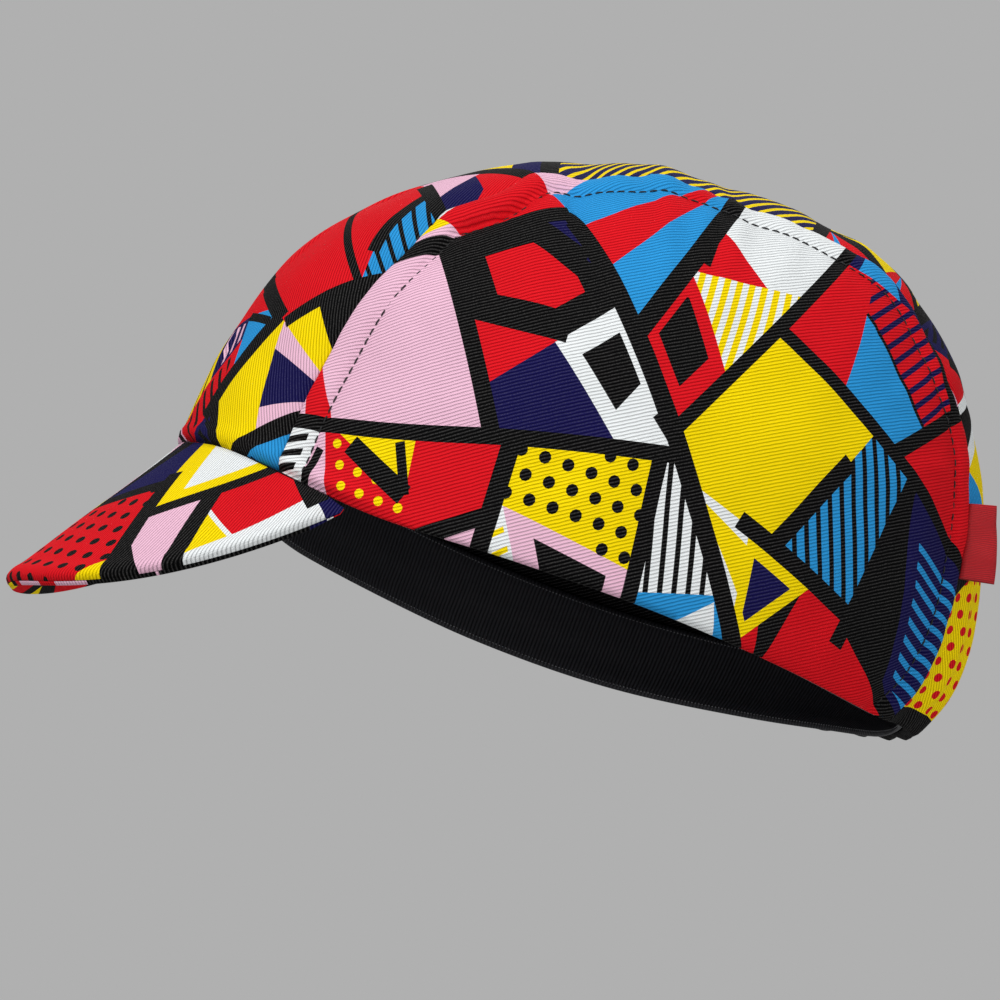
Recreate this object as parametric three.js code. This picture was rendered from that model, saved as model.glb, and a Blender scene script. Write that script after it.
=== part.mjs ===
import * as THREE from "three";
import { mergeVertices } from "three/addons/utils/BufferGeometryUtils.js";

// A soft three-panel cycling cap, as it sits on an upright head. Millimetres, +Z up, the front towards -X
// and the wearer's left towards -Y. The cap is made about the middle of its head opening, with the rim
// level, and the outer group then tips it down to the rear, as it is worn.

// Driving sizes
const rimLength = 202; // the head opening, front to rear
const rimWidth = 156; // the head opening, side to side
const rimTipDegrees = 21.4; // how far the opening slopes down to the rear
const rimSag = 8.2; // how far the sides of the rim hang below its front and rear
const crownHeight = 113; // from the level rim to the top
const frontNarrowing = 0.05; // share by which the front of the head is narrower than the middle
const clothWall = 1.5; // crown cloth with its hidden hems and seam allowances
const panelGap = 0.32; // between neighbouring pieces
const centerPanelWidth = 92; // at the widest
const seamAllowance = 7.8; // between the crease of a crown seam and its topstitch
const seamRollHeight = 1.1; // how far the folded allowance stands proud
const seamRollFullness = 0.8; // under 1 the roll is fuller than half a round
const seamFlatShare = 0.35; // of the roll's height, by which the cloth beside the roll stands proud
const peakReach = 29.5; // how far the peak's tip lies ahead of the front rim
const peakDrop = 48.5; // how far the peak's tip lies below the front rim
const peakCornerDegrees = 47; // where the peak's ends meet the rim, from the front, round the head
const peakEdgeCurve = 1.5; // over 1 the outer edge stays low for longer before it climbs to the corners
const peakEnd = 0.985; // share of the way to the corners at which the covers stop
const peakCoverWall = 1.7; // each of the two cloth covers, with its turned edge
const bandHeight = 18; // above the crown's rim
const bandOverhang = 1.2; // below the crown's rim, behind the peak
const bandTuck = 0.6; // how far that overhang curls inward
const bandRowShares = [0.1, 0.5, 1]; // of the band's height, above its lower edge
const bandWall = 1.2;
const bandClearance = 0.55; // between the sweatband and the crown that it is sewn to
const labelHeight = 18; // along the seam
const labelLength = 9.8; // out of the seam
const labelWall = 1.1;
const labelTurnDegrees = 154; // the label's middle, from the front rim over the top
const labelLeanDegrees = 52; // how far it leans over the centre panel

// The crown's side profile: the reach from the middle of the rim, where 1 is half the rim's length or the
// crown's height, against the turn in degrees from the front rim over the top to the rear rim.
const profileRows = [
  { turn: 0, reach: 1 },
  { turn: 15, reach: 1.01 },
  { turn: 30, reach: 1.024 },
  { turn: 45, reach: 1.002 },
  { turn: 60, reach: 0.983 },
  { turn: 75, reach: 0.974 },
  { turn: 90, reach: 0.984 },
  { turn: 105, reach: 1.03 },
  { turn: 120, reach: 1.096 },
  { turn: 135, reach: 1.115 },
  { turn: 150, reach: 1.112 },
  { turn: 163, reach: 1.096 },
  { turn: 173, reach: 1.066 },
  { turn: 180, reach: 1 },
];

// The squareness of the crown from the front: 2 is an ellipse.
const rimSquareness = 2;
const topSquareness = 2.9;

// The centre panel's half width along the turn, as a share of its widest.
const centerPanelRows = [
  { turn: 0, share: 0.91 },
  { turn: 30, share: 0.91 },
  { turn: 45, share: 0.87 },
  { turn: 60, share: 0.8 },
  { turn: 74, share: 0.88 },
  { turn: 92, share: 0.97 },
  { turn: 110, share: 0.99 },
  { turn: 126, share: 1 },
  { turn: 142, share: 0.92 },
  { turn: 153, share: 0.95 },
  { turn: 167, share: 0.97 },
  { turn: 180, share: 1 },
];

// How far the rim hangs, as a share of the sag, against the angle round the head from its front.
const sagRows = [
  { angle: 0, left: 0, right: 0 },
  { angle: 22, left: 0.28, right: 0.1 },
  { angle: 50, left: 1, right: 0.5 },
  { angle: 75, left: 0.88, right: 0.7 },
  { angle: 95, left: 0.72, right: 0.8 },
  { angle: 115, left: 0.64, right: 0.68 },
  { angle: 140, left: 0.5, right: 0.2 },
  { angle: 160, left: 0.06, right: -0.08 },
  { angle: 180, left: -0.08, right: -0.08 },
];

// Soft folds and dents of the worn crown: the middle of each by its turn in degrees and its share of the
// half width (negative is the wearer's left), its heading in degrees from the run of the turn, its half
// length and half width as shares of the rim's length, and its rise as a share of the rim's length.
const foldRows = [
  { turn: 66, side: -0.5, heading: 68, half: 0.14, width: 0.028, rise: -0.009 },
  { turn: 56, side: -0.54, heading: 60, half: 0.12, width: 0.03, rise: 0.007 },
  { turn: 78, side: -0.52, heading: 75, half: 0.13, width: 0.03, rise: 0.006 },
  { turn: 92, side: -0.56, heading: 95, half: 0.09, width: 0.03, rise: -0.005 },
  { turn: 112, side: -0.52, heading: 105, half: 0.1, width: 0.03, rise: 0.005 },
  { turn: 124, side: -0.52, heading: 100, half: 0.09, width: 0.028, rise: -0.005 },
  { turn: 62, side: 0.52, heading: -66, half: 0.13, width: 0.03, rise: -0.008 },
  { turn: 74, side: 0.54, heading: -70, half: 0.12, width: 0.03, rise: 0.006 },
  { turn: 116, side: 0.52, heading: -100, half: 0.1, width: 0.03, rise: -0.005 },
  { turn: 70, side: 0.0, heading: 12, half: 0.16, width: 0.045, rise: -0.006 },
  { turn: 128, side: 0.05, heading: -14, half: 0.14, width: 0.045, rise: 0.006 },
];
const foldFadeHeight = 0.22; // share of the crown's height below which the folds die out

// The gathers that the elastic pulls into the rear hem
const gatherCount = 9;
const gatherSpanDegrees = 46; // to each side of the rear, round the head
const gatherRise = 1.6; // how far a gather stands proud of the hem
const gatherHeight = 0.24; // share of the crown's height that they reach

// How finely the soft surfaces are divided
const panelRows = 50;
const centerColumns = 4; // to each side of the middle, between the seams' own columns
const sideColumns = 9;
const seamColumnShares = [0, 0.3, 0.7, 1, 1.7]; // of the seam allowance, from the crease
const seamReach = seamColumnShares[seamColumnShares.length - 1];
const peakRows = 26;
const peakColumns = 7;
const bandSteps = 60;
const labelRows = 5;

const halfLength = rimLength / 2;
const halfWidth = rimWidth / 2;
const radians = THREE.MathUtils.degToRad;
const degrees = THREE.MathUtils.radToDeg;

// A column of a table at any place between its rows, by a smooth curve through the rows.
function readRows(rows, key, column, at) {
  const place = THREE.MathUtils.clamp(at, rows[0][key], rows[rows.length - 1][key]);
  let i = 0;
  while (i < rows.length - 2 && place > rows[i + 1][key]) i += 1;
  const step = rows[i + 1][key] - rows[i][key];
  const slopeAt = (j) => {
    const before = rows[Math.max(j - 1, 0)];
    const after = rows[Math.min(j + 1, rows.length - 1)];
    return (after[column] - before[column]) / (after[key] - before[key]);
  };
  const t = (place - rows[i][key]) / step;
  const rise = t * t * (3 - 2 * t);
  const start = t * (1 - t) * (1 - t) * step * slopeAt(i);
  const end = t * t * (t - 1) * step * slopeAt(i + 1);
  return rows[i][column] * (1 - rise) + rows[i + 1][column] * rise + start + end;
}

const bell = (x) => Math.exp(-x * x);
const reachAt = (turn) => readRows(profileRows, "turn", "reach", degrees(turn));
const squarenessAt = (turn) => rimSquareness + (topSquareness - rimSquareness) * Math.sin(turn) ** 2;
const turnOf = (u, v) => Math.atan2(Math.max(v, 0), -u);

// The half width of the centre panel at a turn, as a share of the crown's half width.
function seamShare(turn) {
  const share = readRows(centerPanelRows, "turn", "share", degrees(turn));
  return (centerPanelWidth / 2 / halfWidth) * share;
}

// A place on the level crown. u and v are its shares of half the rim's length and of the crown's height in
// the side view, and side is its share of the half width.
function placeOf(u, v, side) {
  const narrowing = 1 - frontNarrowing * Math.max(0, -u);
  return new THREE.Vector3(halfLength * u, halfWidth * side * narrowing, crownHeight * v);
}

// The place on the crown at a turn and a share of the half width.
function placeAtTurn(turn, side) {
  const power = squarenessAt(turn);
  const scale = (1 - Math.abs(side) ** power) ** (1 / power) * reachAt(turn);
  return placeOf(-scale * Math.cos(turn), scale * Math.sin(turn), side);
}

// The place on the crown that the side view shows at u and v, on the left (-1) or the right (1).
function placeInSideView(u, v, hand) {
  const turn = turnOf(u, v);
  const power = squarenessAt(turn);
  const share = Math.min(Math.hypot(u, v) / reachAt(turn), 1);
  return placeOf(u, v, hand * (1 - share ** power) ** (1 / power));
}

// 1 on the level crown's surface, less inside and more outside.
function crownLevel(place) {
  const u = place.x / halfLength;
  const v = place.z / crownHeight;
  const turn = turnOf(u, v);
  const power = squarenessAt(turn);
  const side = place.y / halfWidth / (1 - frontNarrowing * Math.max(0, -u));
  return (Math.hypot(u, v) / reachAt(turn)) ** power + Math.abs(side) ** power;
}

const normalStep = 0.4; // half the distance over which the surface's direction is measured

function crownNormal(place) {
  const direction = new THREE.Vector3();
  for (const axis of ["x", "y", "z"]) {
    const ahead = place.clone();
    const behind = place.clone();
    ahead[axis] += normalStep;
    behind[axis] -= normalStep;
    direction[axis] = crownLevel(ahead) - crownLevel(behind);
  }
  return direction.normalize();
}

// The angle round the head of a place, from the front, with its hand kept apart.
function headAngle(place) {
  return degrees(Math.atan2(Math.abs(place.y) / halfWidth, -place.x / halfLength));
}

// How far a place hangs below where the level crown has it.
function sagAt(place) {
  const column = place.y < 0 ? "left" : "right";
  const fade = THREE.MathUtils.clamp(1 - place.z / crownHeight, 0, 1) ** 2;
  return rimSag * readRows(sagRows, "angle", column, headAngle(place)) * fade;
}

// The folds of the worn crown, which move both faces of the cloth.
function foldRise(turn, side, height) {
  const fade = THREE.MathUtils.smoothstep(height / crownHeight, foldFadeHeight, 2 * foldFadeHeight);
  let rise = 0;
  for (const fold of foldRows) {
    const along = (turn - radians(fold.turn)) * crownHeight;
    const across = (side - fold.side) * halfWidth;
    const heading = radians(fold.heading);
    const run = along * Math.cos(heading) + across * Math.sin(heading);
    const off = across * Math.cos(heading) - along * Math.sin(heading);
    const shape = bell(run / (fold.half * rimLength)) * bell(off / (fold.width * rimLength));
    rise += fold.rise * rimLength * shape;
  }
  return rise * fade;
}

// The roll of a crown seam over the distance from its crease, on the side panel or on the centre panel.
function seamRise(distance, onSidePanel) {
  const share = distance / seamAllowance;
  const flat = seamFlatShare * seamRollHeight;
  if (!onSidePanel) return flat * THREE.MathUtils.smoothstep(share, 0, 1);
  const roll = share < 1 ? seamRollHeight * Math.sin(Math.PI * share) ** seamRollFullness : 0;
  return roll + flat * THREE.MathUtils.smoothstep(share, 1, seamReach);
}

// The gathers of the rear hem, which stand proud of the outer face.
function gatherRiseAt(place) {
  const fromRear = 180 - headAngle(place);
  if (fromRear > gatherSpanDegrees) return 0;
  const share = (Math.sign(place.y) * fromRear) / gatherSpanDegrees;
  const wave = 0.5 - 0.5 * Math.cos(Math.PI * gatherCount * (share + 1));
  const fade = (1 - share * share) * bell(place.z / (gatherHeight * crownHeight));
  return gatherRise * wave * fade;
}

// The outer and inner face of the crown's cloth at a place of the level crown.
function clothAt(place, turn, side, seamDistance, onSidePanel) {
  const normal = crownNormal(place);
  const fold = foldRise(turn, side, place.z);
  const proud = seamRise(seamDistance, onSidePanel) + gatherRiseAt(place);
  const drop = new THREE.Vector3(0, 0, -sagAt(place));
  const outer = place.clone().addScaledVector(normal, fold + proud).add(drop);
  const inner = place.clone().addScaledVector(normal, fold - clothWall).add(drop);
  return { outer, inner };
}

// A closed wall from a grid of outer and inner places, whose rows may shrink to one place.
function wallGeometry(grid, facesOut) {
  const rows = grid.length;
  const columns = grid[0].length;
  const corners = [];
  const triangle = (a, b, c) => {
    const ends = facesOut ? [a, b, c] : [a, c, b];
    for (const end of ends) corners.push(end.x, end.y, end.z);
  };
  const quad = (a, b, c, d) => {
    triangle(a, b, c);
    triangle(a, c, d);
  };
  for (let i = 0; i < rows - 1; i += 1) {
    for (let j = 0; j < columns - 1; j += 1) {
      const [a, b, c, d] = [grid[i][j], grid[i + 1][j], grid[i + 1][j + 1], grid[i][j + 1]];
      quad(a.outer, b.outer, c.outer, d.outer);
      quad(d.inner, c.inner, b.inner, a.inner);
    }
    const [first, next] = [grid[i], grid[i + 1]];
    const last = columns - 1;
    quad(first[0].inner, next[0].inner, next[0].outer, first[0].outer);
    quad(first[last].outer, next[last].outer, next[last].inner, first[last].inner);
  }
  for (let j = 0; j < columns - 1; j += 1) {
    const [first, last] = [grid[0], grid[rows - 1]];
    quad(first[j].outer, first[j + 1].outer, first[j + 1].inner, first[j].inner);
    quad(last[j].inner, last[j + 1].inner, last[j + 1].outer, last[j].outer);
  }
  return closedGeometry(corners);
}

// Merges the corners that meet, and drops the triangles that have shrunk to nothing.
const mergeDistance = 0.002;

function closedGeometry(corners) {
  const loose = new THREE.BufferGeometry();
  loose.setAttribute("position", new THREE.Float32BufferAttribute(corners, 3));
  const merged = mergeVertices(loose, mergeDistance);
  const index = merged.index.array;
  const kept = [];
  for (let i = 0; i < index.length; i += 3) {
    const [a, b, c] = [index[i], index[i + 1], index[i + 2]];
    if (a !== b && b !== c && c !== a) kept.push(a, b, c);
  }
  merged.setIndex(kept);
  merged.computeVertexNormals();
  return merged;
}

function meshOf(name, geometry, color, roughness) {
  const mesh = new THREE.Mesh(geometry, new THREE.MeshStandardMaterial({ color, roughness, metalness: 0 }));
  mesh.name = name;
  return mesh;
}

// The centre panel runs from the front rim over the top to the rear rim, between the two crown seams.
function centerPanel() {
  const gapShare = panelGap / 2 / halfWidth;
  const grid = [];
  for (let i = 0; i <= panelRows; i += 1) {
    const turn = (Math.PI * i) / panelRows;
    const edge = seamShare(turn) - gapShare;
    const near = seamColumnShares.map((share) => (share * seamAllowance) / halfWidth);
    const inside = edge - (seamReach * seamAllowance) / halfWidth;
    const steps = Array.from({ length: centerColumns }, (_, j) => (inside * j) / centerColumns);
    const right = [...steps, ...near.map((share) => edge - share).reverse()];
    const sides = [...right.slice(1).map((share) => -share).reverse(), ...right];
    grid.push(
      sides.map((side) => {
        const distance = (edge - Math.abs(side)) * halfWidth;
        return clothAt(placeAtTurn(turn, side), turn, side, distance, false);
      }),
    );
  }
  return wallGeometry(grid, true);
}

const laneSamples = 40; // measuring steps along a side panel's lane

// One lane of a side panel, from the crown seam to the rim, with closer columns beside the seam.
function sidePanelLane(seamTurn, rimU, hand) {
  const gapShare = panelGap / 2 / halfWidth;
  const power = squarenessAt(seamTurn);
  const side = seamShare(seamTurn) + gapShare;
  const scale = (1 - side ** power) ** (1 / power) * reachAt(seamTurn);
  const [seamU, seamV] = [-scale * Math.cos(seamTurn), scale * Math.sin(seamTurn)];
  const viewAt = (t) => [seamU + (rimU - seamU) * t, seamV * (1 - t)];
  const lengths = [0];
  for (let i = 1; i <= laneSamples; i += 1) {
    const before = placeInSideView(...viewAt((i - 1) / laneSamples), hand);
    const after = placeInSideView(...viewAt(i / laneSamples), hand);
    lengths.push(lengths[i - 1] + before.distanceTo(after));
  }
  const total = lengths[laneSamples];
  const roll = Math.min(seamAllowance, total / (2 * seamColumnShares.length));
  const near = seamColumnShares.map((share) => share * roll);
  const start = seamReach * roll;
  const rest = Array.from(
    { length: sideColumns },
    (_, j) => start + ((total - start) * (j + 1)) / sideColumns,
  );
  return [...near, ...rest].map((distance) => {
    let i = 1;
    while (i < laneSamples && lengths[i] < distance) i += 1;
    const step = lengths[i] - lengths[i - 1];
    const t = step > 0 ? (i - 1 + Math.min((distance - lengths[i - 1]) / step, 1)) / laneSamples : 0;
    const [u, v] = viewAt(t);
    const place = placeInSideView(u, v, hand);
    const seamDistance = total > 0 ? (distance / Math.max(roll, normalStep)) * seamAllowance : 0;
    return clothAt(place, turnOf(u, v), place.y / halfWidth, seamDistance, true);
  });
}

// A side panel fills the side of the crown, between its seam and the rim.
function sidePanel(hand) {
  const rimSide = (turn) => seamShare(turn) + panelGap / 2 / halfWidth;
  const rimReach = (turn) => reachAt(turn) * (1 - rimSide(turn) ** rimSquareness) ** (1 / rimSquareness);
  const [frontU, rearU] = [-rimReach(0), rimReach(Math.PI)];
  const grid = [];
  for (let i = 0; i <= panelRows; i += 1) {
    const share = i / panelRows;
    grid.push(sidePanelLane(Math.PI * share, frontU + (rearU - frontU) * share, hand));
  }
  return wallGeometry(grid, hand > 0);
}

// The outer foot of the crown at an angle round the head, where a negative angle is on the left.
function rimPlace(angleDegrees) {
  const angle = radians(angleDegrees);
  const place = placeOf(-Math.cos(angle), 0, Math.sin(angle));
  place.z -= sagAt(place);
  return place;
}

// The peak's top surface: across runs from its left corner (-1) to its right one (1), along from the rim
// (0) to the outer edge (1). Seen from above the outer edge is half an ellipse through both corners.
function peakPlace(across, along) {
  const inner = rimPlace(across * peakCornerDegrees);
  const corner = rimPlace(Math.sign(across) * peakCornerDegrees);
  const sweep = (across * Math.PI) / 2;
  const ahead = Math.cos(sweep);
  const lowered = 1 - (1 - ahead) ** peakEdgeCurve;
  const reach = halfLength + peakReach + corner.x;
  const outer = new THREE.Vector3(
    corner.x - reach * ahead,
    Math.abs(corner.y) * Math.sin(sweep),
    corner.z * (1 - lowered) - peakDrop * lowered,
  );
  return inner.lerp(outer, along).add(new THREE.Vector3(0, 0, -panelGap));
}

const peakStep = 0.01; // share over which the peak's direction is measured
const peakDirectionEnd = 0.93; // nearer the corners the direction stays as it is here

function peakUnderDirection(across, along) {
  const near = THREE.MathUtils.clamp(across, -peakDirectionEnd, peakDirectionEnd);
  const over = peakPlace(near + peakStep, along).sub(peakPlace(near - peakStep, along));
  const out = peakPlace(near, along + peakStep).sub(peakPlace(near, along - peakStep));
  return out.cross(over).normalize();
}

// One cover of the peak, between two depths below its top surface.
function peakCover(topDepth, bottomDepth) {
  const grid = [];
  for (let i = 0; i <= peakRows; i += 1) {
    const across = peakEnd * ((2 * i) / peakRows - 1);
    const row = [];
    for (let j = 0; j <= peakColumns; j += 1) {
      const along = j / peakColumns;
      const place = peakPlace(across, along);
      const under = peakUnderDirection(across, along);
      row.push({
        outer: place.clone().addScaledVector(under, topDepth),
        inner: place.clone().addScaledVector(under, bottomDepth),
      });
    }
    grid.push(row);
  }
  return wallGeometry(grid, true);
}

const searchSteps = 40;
const searchReach = 2; // share of the rim's size within which the surface lies

// The crown's surface at a height above the level rim, straight out from the middle at an angle.
function placeAtHeight(angleDegrees, height) {
  const angle = radians(angleDegrees);
  const at = (share) => {
    const place = placeOf(-Math.cos(angle) * share, 0, Math.sin(angle) * share);
    place.z = height;
    return place;
  };
  let [low, high] = [0, searchReach];
  for (let i = 0; i < searchSteps; i += 1) {
    const middle = (low + high) / 2;
    if (crownLevel(at(middle)) < 1) low = middle;
    else high = middle;
  }
  return at(low);
}

// The sweatband lies inside the rim, all the way round. Its lower edge shows under the crown's rim, and
// rises to pass over the peak.
function sweatband() {
  const rowsAt = (angle) => {
    const fromFront = Math.abs(THREE.MathUtils.euclideanModulo(angle + 180, 360) - 180);
    const past = THREE.MathUtils.smoothstep(fromFront, peakCornerDegrees, 1.3 * peakCornerDegrees);
    const lowest = { height: panelGap - (panelGap + bandOverhang) * past, tuck: bandTuck * past };
    return [lowest, ...bandRowShares.map((share) => ({ height: share * bandHeight, tuck: 0 }))];
  };
  const depth = clothWall + bandClearance;
  const faceAt = (angle, height, inward) => {
    const place = placeAtHeight(angle, height);
    const normal = crownNormal(place).setZ(0).normalize();
    const drop = sagAt(place);
    place.addScaledVector(normal, -inward);
    place.z -= drop;
    return place;
  };
  const grid = [];
  for (let i = 0; i <= bandSteps; i += 1) {
    const angle = (360 * (i % bandSteps)) / bandSteps;
    grid.push(
      rowsAt(angle).map(({ height, tuck }) => ({
        outer: faceAt(angle, height, depth + tuck),
        inner: faceAt(angle, height, depth + tuck + bandWall),
      })),
    );
  }
  return ringGeometry(grid);
}

// A closed ring from a grid whose last row is its first.
function ringGeometry(grid) {
  const corners = [];
  const quad = (...ends) => {
    for (const k of [0, 1, 2, 0, 2, 3]) corners.push(ends[k].x, ends[k].y, ends[k].z);
  };
  const last = grid[0].length - 1;
  for (let i = 0; i < grid.length - 1; i += 1) {
    const [row, next] = [grid[i], grid[i + 1]];
    for (let j = 0; j < last; j += 1) {
      quad(row[j].outer, row[j + 1].outer, next[j + 1].outer, next[j].outer);
      quad(row[j].inner, next[j].inner, next[j + 1].inner, row[j + 1].inner);
    }
    quad(row[0].outer, next[0].outer, next[0].inner, row[0].inner);
    quad(row[last].outer, row[last].inner, next[last].inner, next[last].outer);
  }
  return closedGeometry(corners);
}

// The label stands out of the crease of the left crown seam, leaning over the centre panel.
function sideLabel() {
  const turnSpan = labelHeight / (halfLength * reachAt(radians(labelTurnDegrees)));
  const placeAt = (turn) => placeAtTurn(turn, -seamShare(turn));
  const lean = radians(labelLeanDegrees);
  const grid = [];
  for (let i = 0; i <= labelRows; i += 1) {
    const turn = radians(labelTurnDegrees) + turnSpan * (0.5 - i / labelRows);
    const place = placeAt(turn);
    const normal = crownNormal(place);
    const run = placeAt(turn - normalStep / halfLength).sub(place).normalize();
    const inward = new THREE.Vector3().crossVectors(normal, run).normalize();
    if (inward.y < 0) inward.negate();
    const out = normal.clone().multiplyScalar(Math.cos(lean)).addScaledVector(inward, Math.sin(lean));
    const face = normal.clone().multiplyScalar(Math.sin(lean)).addScaledVector(inward, -Math.cos(lean));
    const foot = place.addScaledVector(normal, panelGap + labelWall);
    foot.z -= sagAt(place);
    grid.push(
      [0, 0.5, 1].map((share) => ({
        outer: foot.clone().addScaledVector(out, share * labelLength).addScaledVector(face, labelWall / 2),
        inner: foot.clone().addScaledVector(out, share * labelLength).addScaledVector(face, -labelWall / 2),
      })),
    );
  }
  return wallGeometry(grid, false);
}

const underCoverTop = peakCoverWall + panelGap;

const cap = new THREE.Group();
cap.rotation.y = radians(rimTipDegrees);
cap.add(meshOf("crown_center", centerPanel(), 0xd8202f, 0.85));
cap.add(meshOf("crown_left", sidePanel(-1), 0x1b1a55, 0.85));
cap.add(meshOf("crown_right", sidePanel(1), 0x1b1a55, 0.85));
cap.add(meshOf("peak_upper", peakCover(0, peakCoverWall), 0xe6eef0, 0.85));
cap.add(meshOf("peak_under", peakCover(underCoverTop, underCoverTop + peakCoverWall), 0xd8202f, 0.85));
cap.add(meshOf("sweatband", sweatband(), 0x141416, 0.7));
cap.add(meshOf("side_label", sideLabel(), 0xd3202e, 0.6));

const part = new THREE.Group();
part.add(cap);

export default part;
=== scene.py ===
import math
import random

import bpy
import numpy as np
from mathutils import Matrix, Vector
from mathutils.bvhtree import BVHTree
from mathutils.geometry import delaunay_2d_cdt
from mathutils.kdtree import KDTree


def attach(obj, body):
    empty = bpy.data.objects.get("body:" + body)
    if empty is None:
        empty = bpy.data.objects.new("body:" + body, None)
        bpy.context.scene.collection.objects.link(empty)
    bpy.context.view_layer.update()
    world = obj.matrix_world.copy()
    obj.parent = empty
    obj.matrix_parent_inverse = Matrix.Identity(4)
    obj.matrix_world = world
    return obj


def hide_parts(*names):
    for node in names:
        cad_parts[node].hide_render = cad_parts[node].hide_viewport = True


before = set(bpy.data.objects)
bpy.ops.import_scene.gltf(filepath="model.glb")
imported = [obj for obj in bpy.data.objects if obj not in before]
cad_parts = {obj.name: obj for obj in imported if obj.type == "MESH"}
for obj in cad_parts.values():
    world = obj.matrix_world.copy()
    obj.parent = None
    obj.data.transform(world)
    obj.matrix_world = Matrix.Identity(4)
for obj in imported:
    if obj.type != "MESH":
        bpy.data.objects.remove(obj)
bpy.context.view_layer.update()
print("frame loaded")

mm = 0.001

# The worn cap: the driving sizes of the solids, in millimetres about the middle of the head opening
cap = {
    "rimLength": 202, "rimWidth": 156, "rimTip": 21.4, "rimSag": 8.2, "crownHeight": 113,
    "frontNarrowing": 0.05, "rimSquareness": 2.0, "topSquareness": 2.9, "clothWall": 1.5,
    "centerPanelWidth": 92, "panelGap": 0.12, "seamAllowance": 7.8, "seamRoll": 1.15,
    "peakReach": 29.5, "peakDrop": 48.5, "peakCorner": 47,
}
halfLength = cap["rimLength"] / 2
halfWidth = cap["rimWidth"] / 2

# Side profile of the crown: reach from the middle of the rim against the turn from front to rear
profileRows = [
    (0, 1), (15, 1.01), (30, 1.024), (45, 1.002), (60, 0.983), (75, 0.974), (90, 0.984), (105, 1.03),
    (120, 1.096), (135, 1.115), (150, 1.112), (163, 1.096), (173, 1.066), (180, 1),
]
# Half width of the centre panel against the turn, as a share of the widest
centerPanelRows = [
    (0, 0.91), (30, 0.91), (45, 0.87), (60, 0.8), (74, 0.88), (92, 0.97), (110, 0.99), (126, 1),
    (142, 0.92), (153, 0.95), (167, 0.97), (180, 1),
]
# How far the rim hangs, as a share of the sag, against the angle round the head from its front
sagRows = {
    -1: [(0, 0), (22, 0.28), (50, 1), (75, 0.88), (95, 0.72), (115, 0.64), (140, 0.5), (160, 0.06),
         (180, -0.08)],
    1: [(0, 0), (22, 0.1), (50, 0.5), (75, 0.7), (95, 0.8), (115, 0.68), (140, 0.2), (160, -0.08),
        (180, -0.08)],
}
# Soft folds: turn, side, heading, half length, half width and rise, the last three in rim lengths
foldRows = [
    (66, -0.5, 68, 0.14, 0.028, -0.009), (56, -0.54, 60, 0.12, 0.03, 0.007),
    (78, -0.52, 75, 0.13, 0.03, 0.006), (92, -0.56, 95, 0.09, 0.03, -0.005),
    (112, -0.52, 105, 0.1, 0.03, 0.005), (124, -0.52, 100, 0.09, 0.028, -0.005),
    (62, 0.52, -66, 0.13, 0.03, -0.008), (74, 0.54, -70, 0.12, 0.03, 0.006),
    (116, 0.52, -100, 0.1, 0.03, -0.005), (70, 0.0, 12, 0.16, 0.045, -0.006),
    (128, 0.05, -14, 0.14, 0.045, 0.006),
]
# How strongly the crown seams pucker, in millimetres, against the turn
puckerRows = [
    (0, 0.15), (30, 0.25), (55, 0.45), (70, 0.9), (85, 1.1), (100, 0.7), (120, 0.55), (138, 0.8), (155, 0.6),
    (180, 0.3),
]
# Where the crown seams stray from their even line: turn, stray outwards in millimetres, spread of turn
strayRows = [(43, -1.8, 4), (52, 2.8, 5), (70, 1.8, 6), (118, -0.8, 4), (133, 0.7, 4)]


def smooth(x, low, high):
    t = np.clip((x - low) / (high - low), 0, 1)
    return t * t * (3 - 2 * t)


def bell(x):
    return np.exp(-x * x)


# A smooth curve through a table's rows
def readRows(rows, at):
    keys = np.array([r[0] for r in rows], float)
    values = np.array([r[1] for r in rows], float)
    at = np.clip(at, keys[0], keys[-1])
    i = np.clip(np.searchsorted(keys, at, side="left") - 1, 0, len(keys) - 2)
    rank = np.arange(len(keys))
    before, after = np.maximum(rank - 1, 0), np.minimum(rank + 1, len(keys) - 1)
    slopes = (values[after] - values[before]) / (keys[after] - keys[before])
    step = keys[i + 1] - keys[i]
    t = (at - keys[i]) / step
    rise = t * t * (3 - 2 * t)
    bend = t * (1 - t) ** 2 * slopes[i] + t * t * (t - 1) * slopes[i + 1]
    return values[i] * (1 - rise) + values[i + 1] * rise + step * bend


def reachAt(turn):
    return readRows(profileRows, np.degrees(turn))


def squarenessAt(turn):
    return cap["rimSquareness"] + (cap["topSquareness"] - cap["rimSquareness"]) * np.sin(turn) ** 2


def turnOf(u, v):
    return np.arctan2(np.maximum(v, 0), -u)


# The seam's edge wavers where its allowance puckers
def seamWave(turn):
    along = turn * 108
    return (np.sin(along / 2.3 + 1.9 * np.sin(along / 13)) + 0.6 * np.sin(along / 1.37 + 1.1)
            + 0.7 * np.sin(along / 4.1 + 2.3)) / 2.3


# How far the crease wavers off the even line of its seam, in millimetres
def creaseWaver(turn):
    return 0.6 * readRows(puckerRows, np.degrees(turn)) * seamWave(turn)


def evenSeam(turn):
    degrees = np.degrees(turn)
    half = cap["centerPanelWidth"] / 2 * readRows(centerPanelRows, degrees)
    for at, stray, spread in strayRows:
        half = half + stray * bell((degrees - at) / spread)
    return half / halfWidth


def seamShare(turn):
    return evenSeam(turn) + creaseWaver(turn) / halfWidth


def placeOf(u, v, side):
    narrowing = 1 - cap["frontNarrowing"] * np.maximum(0, -u)
    return np.stack([halfLength * u, halfWidth * side * narrowing, cap["crownHeight"] * v], -1)


def placeAtTurn(turn, side):
    power = squarenessAt(turn)
    scale = (1 - np.abs(side) ** power) ** (1 / power) * reachAt(turn)
    return placeOf(-scale * np.cos(turn), scale * np.sin(turn), side)


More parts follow.
